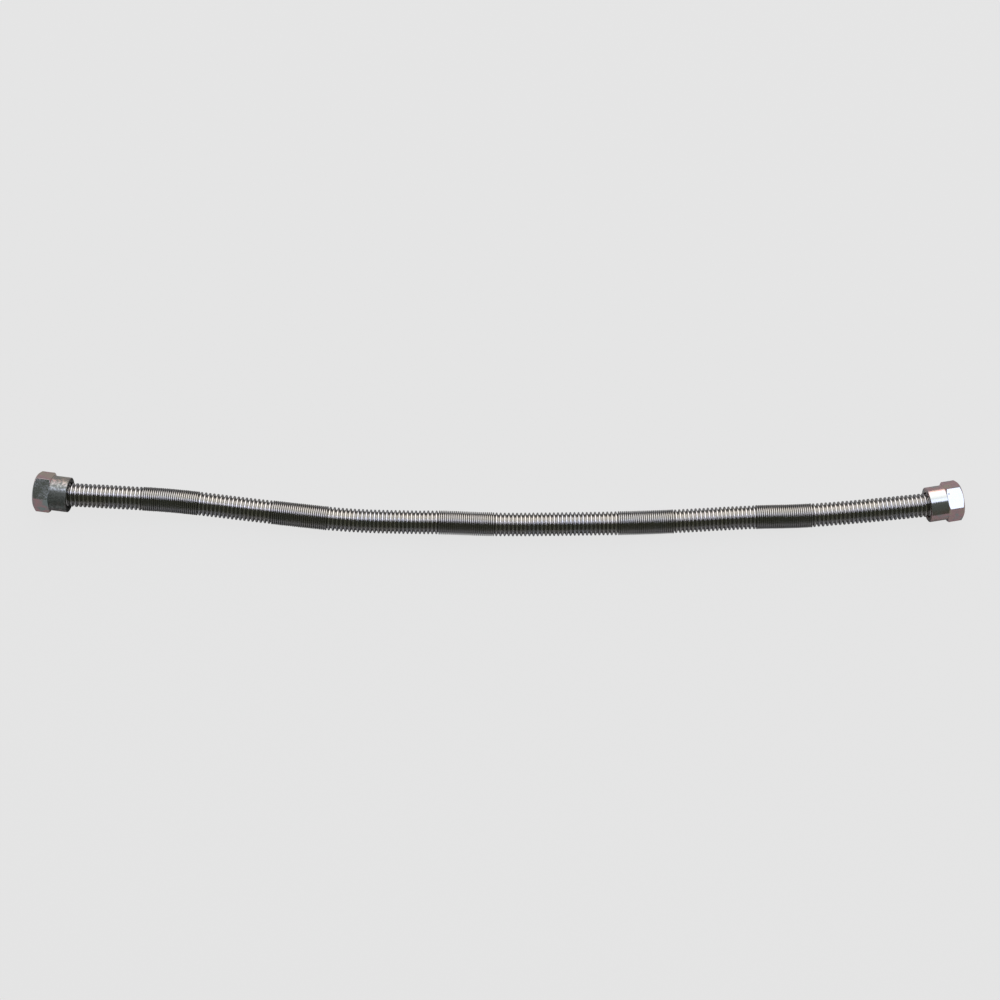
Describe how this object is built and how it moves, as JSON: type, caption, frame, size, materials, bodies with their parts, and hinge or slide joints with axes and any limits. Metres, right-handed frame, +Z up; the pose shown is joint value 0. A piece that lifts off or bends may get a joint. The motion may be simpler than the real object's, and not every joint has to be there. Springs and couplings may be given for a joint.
{
  "type": "flexible connector",
  "caption": "Corrugated stainless steel hose with a loose hexagon union nut at each end, which joins threaded pipe ends that are out of line or that move.",
  "frame": {"origin": "centre of the outline on the surface that the connector lies on", "axes": "+X along the connector, from its left nut to its right nut; +Z up"},
  "size_m": [0.6265, 0.0437, 0.024],
  "materials": {
    "stainless_steel": "bright, formed",
    "plated_steel": "satin, iridescent plating",
    "gasket_rubber": "matt"
  },
  "bodies": {
    "hose": {"corrugated_hose": "stainless_steel", "left_gasket": "gasket_rubber", "right_gasket": "gasket_rubber"},
    "left_nut": {"left_union_nut": "plated_steel"},
    "right_nut": {"right_union_nut": "plated_steel"}
  },
  "joints": [
    {"name": "left_nut_spin", "type": "hinge", "parent": "hose", "child": "left_nut", "pos_m": [-0.3118, 0.00854, 0.012], "axis": [-0.9921, 0.1256, 0], "continuous": true},
    {"name": "right_nut_spin", "type": "hinge", "parent": "hose", "child": "right_nut", "pos_m": [0.31155, 0.00242, 0.012], "axis": [0.9877, 0.1563, 0], "continuous": true}
  ]
}
